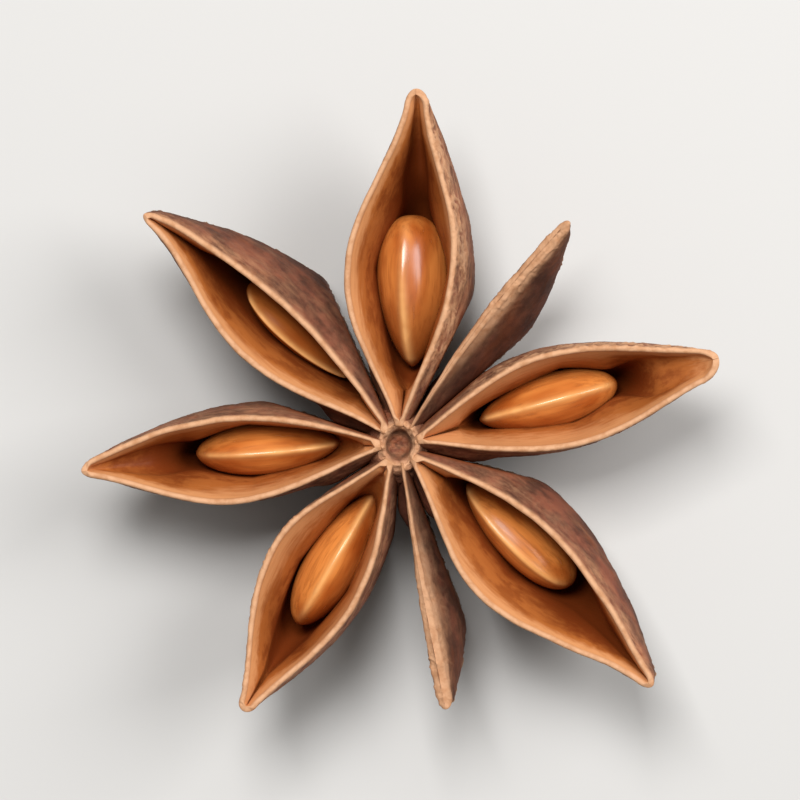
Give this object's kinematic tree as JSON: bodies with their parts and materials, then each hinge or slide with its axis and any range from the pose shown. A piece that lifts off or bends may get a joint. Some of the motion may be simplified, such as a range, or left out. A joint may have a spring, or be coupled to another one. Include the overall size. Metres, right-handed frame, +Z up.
{
  "type": "star anise pod",
  "caption": "Dried star-shaped spice pod of boat-shaped carpels round a short core, split open along the top to show glossy seeds.",
  "frame": {"origin": "middle of the pod's bounding box, at the level of the surface that its keels stand on", "axes": "+Z up out of the open mouths, along the core; +Y towards the longest carpel; +X to the right of it, seen from above"},
  "size_m": [0.0356, 0.0348, 0.0094],
  "materials": {
    "pericarp": "dry woody husk: dark brown rough wrinkled outside, satin orange-brown lining, thin pale tan lips",
    "seed_coat": "smooth glossy caramel-brown seed coat with a pale ridge"
  },
  "bodies": {
    "root": {"pod": "pericarp", "seed_back": "seed_coat", "seed_right": "seed_coat", "seed_front_right": "seed_coat", "seed_front_left": "seed_coat", "seed_left": "seed_coat", "seed_back_left": "seed_coat"}
  },
  "joints": []
}
